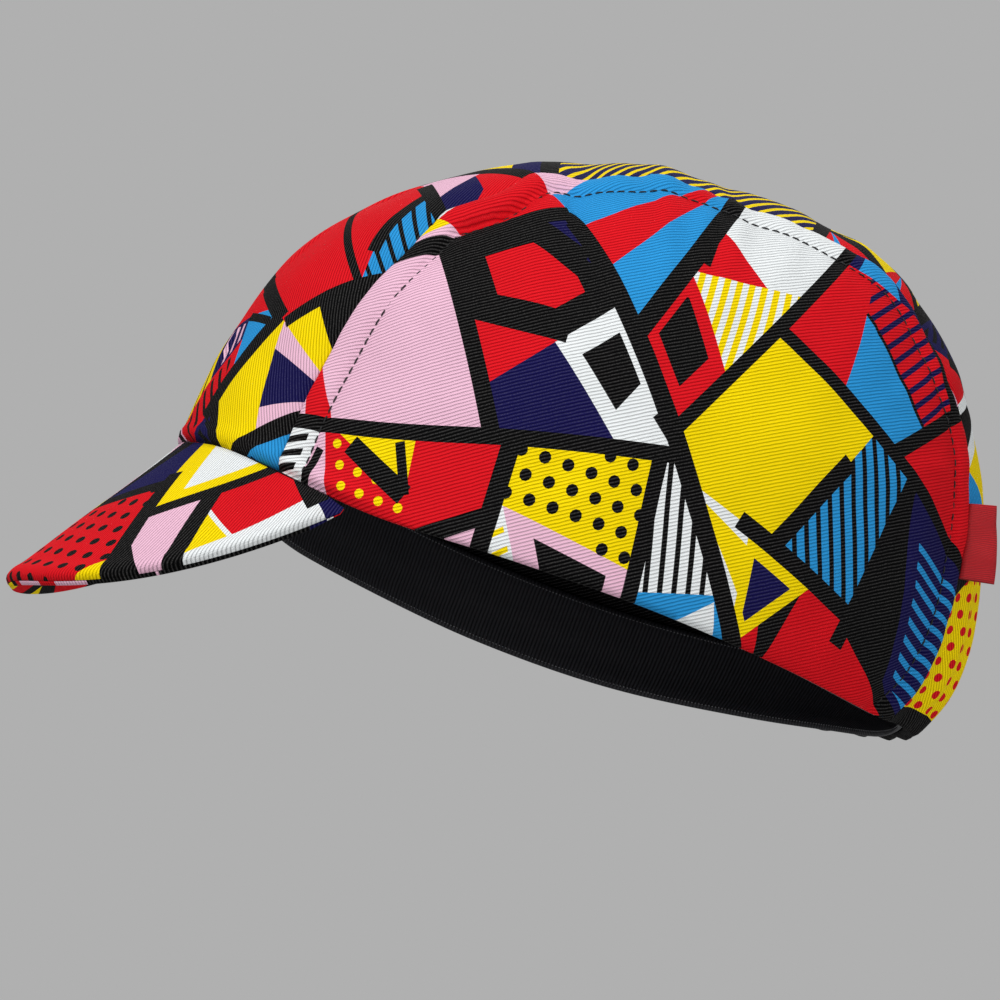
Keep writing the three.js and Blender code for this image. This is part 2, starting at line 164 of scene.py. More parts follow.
def placeInSideView(u, v, hand):
    turn = turnOf(u, v)
    power = squarenessAt(turn)
    share = np.minimum(np.hypot(u, v) / reachAt(turn), 1)
    return placeOf(u, v, hand * (1 - share ** power) ** (1 / power))


def crownLevel(place):
    u, v = place[..., 0] / halfLength, place[..., 2] / cap["crownHeight"]
    turn = turnOf(u, v)
    power = squarenessAt(turn)
    side = place[..., 1] / halfWidth / (1 - cap["frontNarrowing"] * np.maximum(0, -u))
    return (np.hypot(u, v) / reachAt(turn)) ** power + np.abs(side) ** power


def unit(v):
    return v / np.maximum(np.linalg.norm(v, axis=-1, keepdims=True), 1e-9)


# How far each place of a line lies along it
def runAlong(line):
    return np.concatenate([[0], np.cumsum(np.linalg.norm(np.diff(line, axis=0), axis=1))])


def crownNormal(place):
    steps = np.eye(3) * 0.4
    return unit(np.stack([crownLevel(place + s) - crownLevel(place - s) for s in steps], -1))


def headAngle(place):
    return np.degrees(np.arctan2(np.abs(place[..., 1]) / halfWidth, -place[..., 0] / halfLength))


def sagAt(place):
    angle = headAngle(place)
    hang = np.where(place[..., 1] < 0, readRows(sagRows[-1], angle), readRows(sagRows[1], angle))
    return cap["rimSag"] * hang * np.clip(1 - place[..., 2] / cap["crownHeight"], 0, 1) ** 2


def foldRise(turn, side, height):
    total, size = 0, cap["rimLength"]
    for foldTurn, foldSide, heading, half, width, rise in foldRows:
        along = (turn - math.radians(foldTurn)) * cap["crownHeight"]
        across = (side - foldSide) * halfWidth
        c, s = math.cos(math.radians(heading)), math.sin(math.radians(heading))
        run, off = along * c + across * s, across * c - along * s
        total = total + rise * size * bell(run / half / size) * bell(off / width / size)
    return total * smooth(height / cap["crownHeight"], 0.22, 0.44)


# The rear hem's gathers: how many, their span in degrees from the rear, rise, and reach in crown heights
gathers = {"count": 12, "span": 62, "rise": 2.1, "reach": 0.36}


def gatherRise(place):
    fromRear = 180 - headAngle(place)
    share = np.sign(place[..., 1]) * fromRear / gathers["span"]
    wave = 0.5 - 0.5 * np.cos(np.pi * gathers["count"] * (share + 1) + 0.9 * np.sin(5 * share))
    fade = np.clip(1 - share * share, 0, 1) * bell(place[..., 2] / (gathers["reach"] * cap["crownHeight"]))
    return np.where(np.abs(share) < 1, gathers["rise"] * wave * fade, 0)


# The soft unevenness of worn cotton: a few crossing waves with fixed random phases, shifted for each side
waves = random.Random(11)
waveSeeds = {-1: 0.0, 1: 2.6}
waveRows = [
    (waves.uniform(14, 46), waves.uniform(0, math.pi), waves.uniform(0, 2 * math.pi)) for _ in range(16)
]


def softWaves(flat, seed):
    total = 0
    for length, heading, phase in waveRows:
        run = flat[..., 0] * math.cos(heading) + flat[..., 1] * math.sin(heading)
        total = total + (length / 46) * np.sin(2 * np.pi * run / length + phase + seed)
    return total * 0.11


# The folded allowance beside a crown seam: a puffy flap from the crease to the topstitch, which the sewing
# draws into soft puckers that run on a little way into the panel
def seamRise(distance, turn, onSide, seed):
    s = distance / cap["seamAllowance"]
    pucker = readRows(puckerRows, np.degrees(turn))
    if not onSide:
        low = 0.35 * cap["seamRoll"] * smooth(s, 0, 1.4) - 0.35 * bell(s / 0.12)
        return low + 0.4 * pucker * seamWave(turn + seed - 0.01 * s) * smooth(s, 0, 0.8) * bell(s / 2.4)
    # over the front of the crown the allowance is bunched, so the roll stands higher there
    bunched = bell((np.degrees(turn) - 49) / 10)
    flap = cap["seamRoll"] * (1 + 1.3 * bunched) * np.sin(np.pi * np.clip(0.14 + 0.86 * s, 0, 1)) ** 0.7
    edge = -1.0 * bell(s / 0.07)
    stitch = -(0.4 + 1.4 * bunched) * bell((s - 1) / 0.14)
    beyond = 0.35 * cap["seamRoll"] * smooth(s, 1, 1.8)
    swell = 0.55 * pucker * seamWave(turn + 0.05 + seed) * bell((s - 0.5) / 0.45)
    spread = 0.6 * pucker * seamWave(turn + 0.016 * s + seed) * smooth(s, 0.9, 1.3) * bell((s - 1) / 2.6)
    return flap + edge + stitch + beyond + swell + spread


def crownCloth(place, turn, side, distance, onSide, flat, seed):
    normal = crownNormal(place)
    sag = np.stack([0 * turn, 0 * turn, sagAt(place)], -1)
    fold = foldRise(turn, side, place[..., 2]) + softWaves(flat, seed) * smooth(place[..., 2], 2, 24)
    proud = seamRise(distance, turn, onSide, seed) + gatherRise(place)
    # over the peak the folded hem rolls out and tucks in sharply at the peak's seam
    front = smooth(headAngle(place), 58, 44)
    roll = front * (0.8 * bell((place[..., 2] - 2.6) / 1.8) - 0.5 * bell(place[..., 2] / 0.9))
    hem = roll - 0.5 * bell(place[..., 2] / 1.2)
    outer = place + normal * (fold + proud + hem)[..., None] - sag
    inner = place + normal * (fold - cap["clothWall"])[..., None] - sag
    return outer, inner


tip = math.radians(cap["rimTip"])


# From millimetres about the level rim to metres in the frame
def intoFrame(points):
    points = np.asarray(points, float)
    x, y, z = points[..., 0], points[..., 1], points[..., 2]
    return np.stack([
        x * math.cos(tip) + z * math.sin(tip), y, z * math.cos(tip) - x * math.sin(tip)], -1) * mm


# Print colours, as sRGB hex; the last, inside, is no print but near-black painted shade for the crown's
# inside
inks = {
    "red": "E01420", "yellow": "FFE000", "navy": "15124E", "sky": "2C98DC", "pink": "F0BFD6",
    "white": "F1F5F6", "black": "050506", "inside": "030304",
}


def linear(hexCode):
    parts = [int(hexCode[i:i + 2], 16) / 255 for i in (0, 2, 4)]
    return tuple(c / 12.92 if c <= 0.04045 else ((c + 0.055) / 1.055) ** 2.4 for c in parts) + (1,)


# Twice the area that three flat places span, above nought where they turn left
def spanOf(a, b, c):
    return (b[0] - a[0]) * (c[1] - a[1]) - (b[1] - a[1]) * (c[0] - a[0])


# Polygons of the print are lists of flat places in millimetres
def barShape(start, end, width):
    (x0, y0), (x1, y1) = start, end
    length = max(math.dist(start, end), 1e-6)
    sx, sy = (y0 - y1) / length * width / 2, (x1 - x0) / length * width / 2
    return [(x0 + sx, y0 + sy), (x1 + sx, y1 + sy), (x1 - sx, y1 - sy), (x0 - sx, y0 - sy)]


# Cuts a polygon to a convex region given counterclockwise
def clipShape(shape, region):
    for a, b in zip(region, region[1:] + region[:1]):
        kept = []
        for p, q in zip(shape, shape[1:] + shape[:1]):
            before, after = spanOf(a, b, p), spanOf(a, b, q)
            if before >= 0:
                kept.append(p)
            if before * after < 0:
                kept.append(between(p, q, before / (before - after)))
        shape = kept
        if len(shape) < 3:
            return []
    return shape


def areaOf(shape):
    return sum(p[0] * q[1] - q[0] * p[1] for p, q in zip(shape, shape[1:] + shape[:1])) / 2


def facing(shape):
    return shape if areaOf(shape) > 0 else shape[::-1]


def middleOf(shape):
    return sum(p[0] for p in shape) / len(shape), sum(p[1] for p in shape) / len(shape)


def between(p, q, share):
    return p[0] + (q[0] - p[0]) * share, p[1] + (q[1] - p[1]) * share


def hatchShapes(region, angle, pitch, width):
    c, s = math.cos(math.radians(angle)), math.sin(math.radians(angle))
    offs = [y * c - x * s for x, y in region]
    runs = [x * c + y * s for x, y in region]
    shapes = []
    for k in range(math.ceil(min(offs) / pitch), math.floor(max(offs) / pitch) + 1):
        start, end = [(r * c - k * pitch * s, r * s + k * pitch * c) for r in (min(runs) - 1, max(runs) + 1)]
        shapes.append(clipShape(barShape(start, end, width), region))
    return [shape for shape in shapes if shape]


def dotShapes(region, pitch, radius):
    xs, ys = [p[0] for p in region], [p[1] for p in region]
    shapes = []
    rowStep = pitch * math.sqrt(0.75)
    for row in range(int((max(ys) - min(ys)) / rowStep) + 1):
        for column in range(int((max(xs) - min(xs)) / pitch) + 2):
            x = min(xs) + (column + 0.5 * (row % 2)) * pitch
            y = min(ys) + (row + 0.5) * rowStep
            angles = [k * math.pi / 5 for k in range(10)]
            ring = [(x + radius * math.cos(a), y + radius * math.sin(a)) for a in angles]
            if len(clipShape(ring, region)) == len(ring):
                shapes.append(ring)
    return shapes


# The print is a seeded mosaic. A stretch of cloth is cut again and again across its longest side, heavy
# black bars follow the first cuts, and some facets carry hatches, dots, a shard or a smaller facet.
mosaic = {
    "largest": 2700, "smallest": 520, "barred": 2600, "barWidth": 4.4, "fineWidth": 1.1,
    "inks": {"red": 6, "yellow": 6.5, "navy": 4, "sky": 4.5, "pink": 3.2, "white": 4.6, "black": 1.1},
}


def mosaicShapes(seed, low, high):
    draw = random.Random(seed)
    facets, fine, bars = [], [], []

    def pickInk(*without):
        while True:
            ink = draw.choices(list(mosaic["inks"]), list(mosaic["inks"].values()))[0]
            if ink not in without:
                return ink

    def dress(shape, ink):
        facets.append((shape, ink))
        area, middle, roll = areaOf(shape), middleOf(shape), draw.random()
        other = pickInk(ink, "black") if ink == "black" else draw.choice([pickInk(ink), "black"])
        if ink == "black" and roll < 0.55:
            return
        if roll < 0.2:
            inset = draw.choice([0, 0.25])
            region = [between(p, middle, inset) for p in shape]
            angle, pitch, width = draw.uniform(0, 180), draw.uniform(3.2, 4.6), draw.uniform(1.1, 1.8)
            fine.extend((hatch, other) for hatch in hatchShapes(region, angle, pitch, width))
        elif roll < 0.26 and area > 300:
            pitch, radius = draw.uniform(4.6, 6), draw.uniform(1.1, 1.6)
            fine.extend((dot, other) for dot in dotShapes(shape, pitch, radius))
        elif roll < 0.55 and area > 200:
            k = draw.randrange(len(shape))
            a, b, c = shape[k], shape[(k + 1) % len(shape)], shape[(k + 2) % len(shape)]
            start, end = draw.uniform(0.1, 0.4), draw.uniform(0.6, 0.95)
            facets.append(([between(a, b, start), between(a, b, end), between(c, middle, 0.2)], other))
        elif roll < 0.66 and area > 260:
            facets.append(([between(p, middle, 0.45) for p in shape], other))
        elif roll < 0.74:
            inward = middleOf([shape[len(shape) // 2], middle])
            fine.append((barShape(shape[0], inward, mosaic["barWidth"] * 0.55), "black"))

    def cut(shape, ink):
        area = areaOf(shape)
        if area < mosaic["smallest"] or (area < mosaic["largest"] and draw.random() < 0.3):
            return dress(shape, ink)
        k = max(range(len(shape)), key=lambda i: math.dist(shape[i], shape[(i + 1) % len(shape)]))
        a, b = shape[k], shape[(k + 1) % len(shape)]
        x, y = between(a, b, draw.uniform(0.3, 0.7))
        heading = math.atan2(b[1] - a[1], b[0] - a[0]) + math.pi / 2 + draw.uniform(-0.75, 0.75)
        c, s = math.cos(heading), math.sin(heading)
        far = 900
        line = (x - far * c, y - far * s), (x + far * c, y + far * s)
        sides = []
        for hand in (1, -1):
            beyond = [(px - hand * far * s, py + hand * far * c) for px, py in line[::-1]]
            sides.append(clipShape(shape, facing([*line, *beyond])))
        ends = sorted(clipShape(barShape(*line, 0.02), shape), key=lambda p: p[0] * c + p[1] * s)
        cut(sides[0], pickInk(ink))
        cut(sides[1], ink)
        if ends and (area > mosaic["barred"] or draw.random() < 0.26):
            end = between(ends[0], ends[-1], 0.72) if draw.random() < 0.35 else ends[-1]
            bars.append((barShape(ends[0], end, mosaic["barWidth"] * draw.uniform(0.8, 1.15)), "black"))
        elif ends and draw.random() < 0.2:
            fine.append((barShape(ends[0], ends[-1], mosaic["fineWidth"]), draw.choice(["white", "black"])))

    cut([low, (high[0], low[1]), high, (low[0], high[1])], pickInk("black"))
    return facets + fine + bars


def insideShape(points, shape):
    x, y = points[:, 0], points[:, 1]
    inside = np.zeros(len(points), bool)
    for (x0, y0), (x1, y1) in zip(shape, shape[1:] + shape[:1]):
        if y0 == y1:
            continue
        crosses = (y0 > y) != (y1 > y)
        inside ^= crosses & (x < (x1 - x0) * (y - y0) / (y1 - y0) + x0)
    return inside


# Cuts a grid of flat cloth along the print's edges. Returns the flat corners, the triangles, an ink for
# each, and for each corner the grid places and shares that it lies between.
def cutPanel(flat, shapes):
    n, m = flat.shape[:2]
    points, first, back = np.unique(
        np.round(flat.reshape(-1, 2), 4), axis=0, return_index=True, return_inverse=True)
    back = back.reshape(n, m)
    edges = set()
    for a, b in ((back[:-1], back[1:]), (back[:, :-1], back[:, 1:])):
        for p, q in zip(a.ravel().tolist(), b.ravel().tolist()):
            if p != q:
                edges.add((min(p, q), max(p, q)))
    outline = [*back[:, 0], *back[-1, 1:], *back[::-1, -1][1:], *back[0, ::-1][1:-1]]
    border = [points[i] for i, j in zip(outline, outline[1:] + outline[:1]) if i != j]
    low, high = points.min(0) - 2, points.max(0) + 2
    painted = [p for p in shapes if np.all(np.max(p[0], 0) > low) and np.all(np.min(p[0], 0) < high)]
    places = [Vector(p) for p in points.tolist()]
    wanted = list(edges)
    for shape, _ in painted:
        start = len(places)
        places += [Vector(p) for p in shape]
        wanted += [(start + k, start + (k + 1) % len(shape)) for k in range(len(shape))]
    corners, _, faces, sources, _, _ = delaunay_2d_cdt(places, wanted, [], 0, 1e-5, True)
    corners = np.array([tuple(c) for c in corners])
    faces = np.array([tuple(f) for f in faces])
    middles = corners[faces].mean(1)
    sizes = np.abs(spanOf(*corners[faces].transpose(1, 2, 0)))
    kept = insideShape(middles, [tuple(p) for p in border]) & (sizes > 1e-9)
    faces, middles = faces[kept], middles[kept]
    colors = np.array([linear(inks["black"])] * len(faces))
    for shape, ink in painted:
        colors[insideShape(middles, shape)] = linear(inks[ink])

    base = flat.reshape(-1, 2)
    cells = [(i * m + j, (i + 1) * m + j) for i in range(n - 1) for j in range(m - 1)]
    triangles = np.array([t for a, b in cells for t in ((a, b, b + 1), (a, b + 1, a + 1))])
    triangles = triangles[np.abs(spanOf(*base[triangles].transpose(1, 2, 0))) > 1e-4].tolist()
    tree = BVHTree.FromPolygons([(x, y, 0) for x, y in base.tolist()], triangles)
    used = np.unique(faces)
    rank = -np.ones(len(corners), int)
    rank[used] = np.arange(len(used))
    ends, shares = np.zeros((len(used), 3), int), np.zeros((len(used), 3))
    for k, corner in enumerate(used):
        known = [s for s in sources[corner] if s < len(points)]
        if known:
            ends[k], shares[k] = first[known[0]], (1, 0, 0)
            continue
        spot, _, index, _ = tree.find_nearest((*corners[corner], 0))
        ends[k] = triangles[index]
        a, b, c = base[ends[k]]
        toB, toC = spanOf(a, spot, c) / spanOf(a, b, c), spanOf(a, b, spot) / spanOf(a, b, c)
        shares[k] = (1 - toB - toC, toB, toC)
    return corners[used], rank[faces], colors, ends, shares


# Makes the piece of a mesh. The cloth places, in millimetres across and along the ribs, drive its weave.
def linkPiece(name, mesh, cloth, material):
    weave = mesh.attributes.new("cloth", "FLOAT_VECTOR", "POINT")
    weave.data.foreach_set("vector", np.asarray(cloth, np.float32).ravel())
    mesh.polygons.foreach_set("use_smooth", [True] * len(mesh.polygons))
    piece = bpy.data.objects.new(name, mesh)
    bpy.context.scene.collection.objects.link(piece)
    mesh.materials.append(material)
    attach(piece, "root")
    return piece


# A closed cloth panel from a grid: printed outside, painted near-black inside as shade, with cut edges
# between
def clothPanel(name, flat, outer, inner, shapes, ribHeading, flip, material):
    corners, faces, colors, ends, shares = cutPanel(flat, shapes)
    blend = lambda grid: (grid.reshape(-1, 3)[ends] * shares[..., None]).sum(1)
    top, under = intoFrame(blend(outer)), intoFrame(blend(inner))
    if flip:
        faces = faces[:, ::-1]
    count = len(top)
    directed = {}
    for k, (a, b, c) in enumerate(faces.tolist()):
        for p, q in ((a, b), (b, c), (c, a)):
            directed[(p, q)] = k
    walls = [(p, q, k) for (p, q), k in directed.items() if (q, p) not in directed]
    polygons = faces.tolist() + (faces[:, ::-1] + count).tolist()
    polygons += [(q, p, p + count, q + count) for p, q, _ in walls]
    # the inner faces get painted shade: near-black, standing for the shadow inside the crown
    paintedShadeInside = np.tile(linear(inks["inside"]), (len(faces), 1))
    faceColors = np.vstack([colors, paintedShadeInside, colors[[k for _, _, k in walls]]])
    mesh = bpy.data.meshes.new(name)
    mesh.from_pydata(np.vstack([top, under]).tolist(), [], polygons)
    ink = mesh.attributes.new("print", "FLOAT_COLOR", "CORNER")
    sizes = np.array([len(p) for p in polygons])
    ink.data.foreach_set("color", np.repeat(faceColors, sizes, axis=0).astype(np.float32).ravel())
    c, s = math.cos(math.radians(ribHeading)), math.sin(math.radians(ribHeading))
    x, y = corners.T
    cloth = np.column_stack([y * c - x * s, x * c + y * s, 0 * x])
    print(name, len(polygons), "faces,", len(corners), "corners")
    return linkPiece(name, mesh, np.vstack([cloth, cloth]), material)


# Adds a shader node, or takes one that is there, with its settings. A value that is a socket is linked, a
# node gives its first output, and the rest are constants.
def addNode(tree, kind, values=None, **settings):
    node = kind if isinstance(kind, bpy.types.Node) else tree.nodes.new("ShaderNode" + kind)
    for name, value in settings.items():
        setattr(node, name, value)
    for name, value in (values or {}).items():
        if isinstance(value, bpy.types.Node):
            value = value.outputs[0]
        if isinstance(value, bpy.types.NodeSocket):
            tree.links.new(value, node.inputs[name])
        else:
            node.inputs[name].default_value = value
    return node


# The cloth places that a material's weave follows, whole and split into across and along the ribs
def clothPlaces(tree):
    cloth = addNode(tree, "Attribute", attribute_name="cloth").outputs["Vector"]
    split = addNode(tree, "SeparateXYZ", {0: cloth})
    return cloth, split.outputs["X"], split.outputs["Y"]


# A wave of threads along a cloth direction, its length in millimetres
def threadWave(tree, along, length):
    turns = addNode(tree, "Math", {0: along, 1: 2 * math.pi / length}, operation="MULTIPLY")
    return addNode(tree, "Math", {0: turns}, operation="SINE")


def newMaterial(name):
    material = bpy.data.materials.new(name)
    material.use_nodes = True
    tree = material.node_tree
    return material, tree, tree.nodes["Principled BSDF"]


# Printed cotton twill: matte, with ribs that show as fine slanting lines. Real ones lie about 0.5 mm apart
# and are drawn coarser, so that they show.
# The pale mix on the rib tops of dark inks is partly undyed fibre and partly painted highlight
twill = {"ribPitch": 0.82, "threadPitch": 0.5, "ribDepth": 0.16, "grooveShade": 0.5, "ridgeWearAndHighlight": 0.06,
         "paleFibreAndHighlight": "B9B6B4", "roughness": 0.85}


def makeTwill():
    material, tree, shader = newMaterial("printed cotton twill")
    ink = addNode(tree, "Attribute", attribute_name="print")
    cloth, across, along = clothPlaces(tree)
    drift = addNode(tree, "TexNoise", {"Vector": cloth, "Scale": 0.35, "Detail": 2.0})
    wander = addNode(tree, "Math", {0: drift, 1: 0.3, 2: across}, operation="MULTIPLY_ADD")
    ridge = addNode(tree, "Math", {0: threadWave(tree, wander, 2 * twill["ribPitch"])}, operation="ABSOLUTE")
    rib = addNode(tree, "Math", {0: ridge, 1: 0.55}, operation="POWER")
    slant = addNode(tree, "Math", {0: across, 1: 0.6, 2: along}, operation="MULTIPLY_ADD")
    thread = threadWave(tree, slant, twill["threadPitch"])
    fiber = addNode(tree, "TexNoise", {"Vector": cloth, "Scale": 3.2, "Detail": 4.0, "Roughness": 0.7})
    patch = addNode(tree, "TexNoise", {"Vector": cloth, "Scale": 0.045, "Detail": 3.0})
    height = addNode(tree, "Math", {0: thread, 1: 0.1, 2: rib}, operation="MULTIPLY_ADD")
    relief = addNode(tree, "Math", {0: fiber, 1: 0.45, 2: height}, operation="MULTIPLY_ADD")
    bump = addNode(tree, "Bump", {"Height": relief, "Strength": 1.0, "Distance": twill["ribDepth"] * mm})
    shade = addNode(tree, "MapRange", {"Value": height, "From Min": 0.1, "From Max": 1.0,
                                       "To Min": twill["grooveShade"], "To Max": 1.04})
    speck = addNode(tree, "MapRange", {"Value": fiber, "From Min": 0.3, "From Max": 0.7,
                                       "To Min": 0.93, "To Max": 1.05})
    cloud = addNode(tree, "MapRange", {"Value": patch, "From Min": 0.3, "From Max": 0.7,
                                       "To Min": 0.95, "To Max": 1.03})
    both = addNode(tree, "Math", {0: shade, 1: speck}, operation="MULTIPLY")
    whole = addNode(tree, "Math", {0: both, 1: cloud}, operation="MULTIPLY")
    tone = addNode(tree, "VectorMath", {0: ink, "Scale": whole}, operation="SCALE")
    # along the tops of the ribs the dark colours are mixed towards pale grey: partly undyed fibre showing
    # through the ink, partly a painted highlight on the rib tops
    ridgeTops = addNode(tree, "Math", {0: ridge, 1: 6.0}, operation="POWER")
    light = addNode(tree, "RGBToBW", {"Color": ink})
    dark = addNode(tree, "MapRange", {"Value": light, "From Min": 0.002, "From Max": 0.03,
                                      "To Min": 1.0, "To Max": 0.2})
    uneven = addNode(tree, "MapRange", {"Value": fiber, "From Min": 0.4, "From Max": 0.62,
                                        "To Min": 0.2 * twill["ridgeWearAndHighlight"], "To Max": 2.2 * twill["ridgeWearAndHighlight"]})
    fibreAndHighlightMix = addNode(tree, "Math", {0: ridgeTops, 1: uneven}, operation="MULTIPLY")
    fibreAndHighlightOnDark = addNode(tree, "Math", {0: fibreAndHighlightMix, 1: dark}, operation="MULTIPLY")
    mixed = addNode(tree, "Mix", {"Factor": fibreAndHighlightOnDark, "A": tone.outputs[0], "B": linear(twill["paleFibreAndHighlight"])},
                    data_type="RGBA")
    addNode(tree, shader, {"Base Color": mixed.outputs["Result"], "Normal": bump,
                           "Roughness": twill["roughness"], "IOR": 1.5, "Specular IOR Level": 0.04})
    return material


twillMaterial = makeTwill()
print("twill ready")

# Side panels. Flat places are measured round the panel's middle on the rim, so that the print keeps its
# size over the curve: x towards the rear and y up, in millimetres.
sideParts = {"leftSeed": 237, "rightSeed": 30, "ribHeading": 31, "lanes": 176, "samples": 90, "most": 66,
             "roll": [0, 0.08, 0.16, 0.26, 0.38, 0.5, 0.62, 0.74, 0.84, 0.92, 1, 1.08, 1.2, 1.4, 1.7]}

leftPrint = mosaicShapes(sideParts["leftSeed"], (-104, -8), (108, 124))
rightPrint = mosaicShapes(sideParts["rightSeed"], (-104, -8), (108, 124))

# Flat radius of a side panel against its share of the reach, for every degree of turn
radialShares = np.linspace(0, 1, 241) ** 0.8
radialTurns = np.radians(np.arange(181.0))[:, None]
radialLength = reachAt(radialTurns) * np.hypot(
    halfLength * np.cos(radialTurns), cap["crownHeight"] * np.sin(radialTurns))
radialPower = squarenessAt(radialTurns)
radialSide = halfWidth * (1 - radialShares ** radialPower) ** (1 / radialPower)
radialSteps = np.hypot(np.diff(radialLength * radialShares, axis=1), np.diff(radialSide, axis=1))
radialFlat = np.hstack([np.zeros((181, 1)), np.cumsum(radialSteps, axis=1)])


def flatInSideView(u, v):
    turn = turnOf(u, v)
    share = np.minimum(np.hypot(u, v) / reachAt(turn), 1)
    row = np.clip(np.degrees(turn).astype(int), 0, 179)
    part = np.degrees(turn) - row
    spots = list(zip(share.ravel(), row.ravel()))
    low, high = (np.reshape([np.interp(s, radialShares, radialFlat[r + k]) for s, r in spots], share.shape)
                 for k in range(2))
    radius = low * (1 - part) + high * part
    x, z = halfLength * u, cap["crownHeight"] * v
    length = np.maximum(np.hypot(x, z), 1e-6)
    return np.stack([radius * x / length, radius * z / length], -1)


# How far each place lies from the even line of a crown seam, and the turn of the seam beside it
def fromSeam(place, hand):
    turns = np.linspace(0, np.pi, 4000)
    seam = KDTree(len(turns))
    for k, point in enumerate(placeAtTurn(turns, hand * evenSeam(turns)).tolist()):
        seam.insert(point, k)
    seam.balance()
    found = [seam.find(point) for point in place.reshape(-1, 3).tolist()]
    distance = np.array([f[2] for f in found]).reshape(place.shape[:-1])
    return distance, turns[[f[1] for f in found]].reshape(place.shape[:-1])


def sideCloth(u, v, hand):
    place = placeInSideView(u, v, hand)
    distance, seamTurns = fromSeam(place, hand)
    # the crease wavers, while the topstitch keeps its even way
    waver = creaseWaver(seamTurns) * np.clip(1 - distance / cap["seamAllowance"], 0, 1)
    distance = np.maximum(distance - waver, 0)
    flat = flatInSideView(u, v)
    near = smooth(distance, 40, 14)
    turn = turnOf(u, v) * (1 - near) + seamTurns * near
    side = place[..., 1] / halfWidth
    outer, inner = crownCloth(place, turn, side, distance, True, flat, waveSeeds[hand])
    return place, flat, outer, inner


def sideGrid(hand):
    gapShare = cap["panelGap"] / 2 / halfWidth
    rimSide = lambda turn: (1 - (seamShare(turn) + gapShare) ** 2) ** 0.5 * reachAt(turn)
    frontU, rearU = -rimSide(0.0), rimSide(math.pi)
    lanes = sideParts["lanes"]
    share = np.linspace(0, 1, lanes + 1)
    seamTurn = np.pi * share
    power = squarenessAt(seamTurn)
    side = seamShare(seamTurn) + gapShare
    scale = (1 - side ** power) ** (1 / power) * reachAt(seamTurn)
    seamU, seamV = -scale * np.cos(seamTurn), scale * np.sin(seamTurn)
    seamV[0] = seamV[-1] = 0
    rimU = frontU + (rearU - frontU) * share
    rows = []
    for i in range(lanes + 1):
        t = np.linspace(0, 1, sideParts["samples"] + 1)
        track = placeInSideView(seamU[i] + (rimU[i] - seamU[i]) * t, seamV[i] * (1 - t), hand)
        lengths = runAlong(track)
        total = lengths[-1]
        roll = min(cap["seamAllowance"], total / 10)
        near = np.array(sideParts["roll"]) * roll
        rest = near[-1] + (total - near[-1]) * np.arange(1, sideParts["most"] + 1) / sideParts["most"]
        distance = np.concatenate([near, rest])
        at = np.interp(distance, lengths, t) if total > 0 else 0 * distance
        rows.append((seamU[i] + (rimU[i] - seamU[i]) * at, seamV[i] * (1 - at)))
    u, v = (np.array([row[k] for row in rows]) for k in range(2))
    return sideCloth(u, v, hand)[1:]


leftFlat, leftOuter, leftInner = sideGrid(-1)
rightFlat, rightOuter, rightInner = sideGrid(1)
crownLeft = clothPanel("crown_left_panel", leftFlat, leftOuter, leftInner, leftPrint,
                       sideParts["ribHeading"], True, twillMaterial)
crownRight = clothPanel("crown_right_panel", rightFlat, rightOuter, rightInner, rightPrint,
                        sideParts["ribHeading"], False, twillMaterial)
for piece, node in ((crownLeft, "crown_left"), (crownRight, "crown_right")):
    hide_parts(node)
print("side panels ready")

# Centre panel: x across from the wearer's left to the right and y from the front rim over the top
centerParts = {"seed": 2, "ribHeading": 62, "rows": 210, "middle": 26,
               "roll": [0, 0.08, 0.16, 0.28, 0.42, 0.6, 0.8, 1, 1.3, 1.7]}

centerPrint = mosaicShapes(centerParts["seed"], (-52, -6), (52, 345))


def centerGrid():
    turns = np.linspace(0, np.pi, 721)
    spine = placeAtTurn(turns, 0 * turns)
    lengths = runAlong(spine)
    at = np.linspace(0, lengths[-1], centerParts["rows"] + 1)
    turn = np.interp(at, lengths, turns)[:, None]
    near = np.array(centerParts["roll"]) * cap["seamAllowance"] / halfWidth
    edge = seamShare(turn) - cap["panelGap"] / 2 / halfWidth
    inside = edge - near[-1]
    steps = inside * np.arange(centerParts["middle"]) / centerParts["middle"]
    right = np.hstack([steps, (edge - near)[:, ::-1]])
    side = np.hstack([-right[:, :0:-1], right])
    turn = turn + 0 * side
    place = placeAtTurn(turn, side)
    flat = np.stack([side * halfWidth, at[:, None] + 0 * side], -1)
    seed = np.where(side < 0, waveSeeds[-1], waveSeeds[1])
    outer, inner = crownCloth(place, turn, side, (edge - np.abs(side)) * halfWidth, False, flat, seed)
    return flat, outer, inner


centerFlat, centerOuter, centerInner = centerGrid()
crownCenter = clothPanel("crown_center_panel", centerFlat, centerOuter, centerInner, centerPrint,
                         centerParts["ribHeading"], True, twillMaterial)
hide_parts("crown_center")
print("center panel ready")

# Peak: x along its middle line from the wearer's left to the right, y out from the rim
peak = {"upperSeed": 205, "underSeed": 14, "ribHeading": 90, "across": 150, "along": 42, "crowding": 0.8,
        "coverWall": 1.75, "edgeRound": 1.5, "end": 0.985, "crest": 0.5, "unevenness": 0.22, "drop": 0.32}

peakPrint = mosaicShapes(peak["upperSeed"], (-84, -34), (84, 34))
underPrint = mosaicShapes(peak["underSeed"], (-84, -34), (84, 34))


def rimPlace(angle):
    radians = np.radians(angle)
    place = placeOf(-np.cos(radians), 0 * radians, np.sin(radians))
    place[..., 2] -= sagAt(place)
    return place


def peakPlace(across, along):
    inner = rimPlace(across * cap["peakCorner"])
    corner = rimPlace(np.sign(across) * cap["peakCorner"])
    ahead = np.cos(across * np.pi / 2)
    lowered = 1 - (1 - ahead) ** 1.5
    reach = halfLength + cap["peakReach"] + corner[..., 0]
    outer = np.stack([
        corner[..., 0] - reach * ahead, np.abs(corner[..., 1]) * np.sin(across * np.pi / 2),
        corner[..., 2] * (1 - lowered) - cap["peakDrop"] * lowered], -1)
    place = inner + (outer - inner) * along[..., None]
    place[..., 2] -= peak["drop"]
    return place


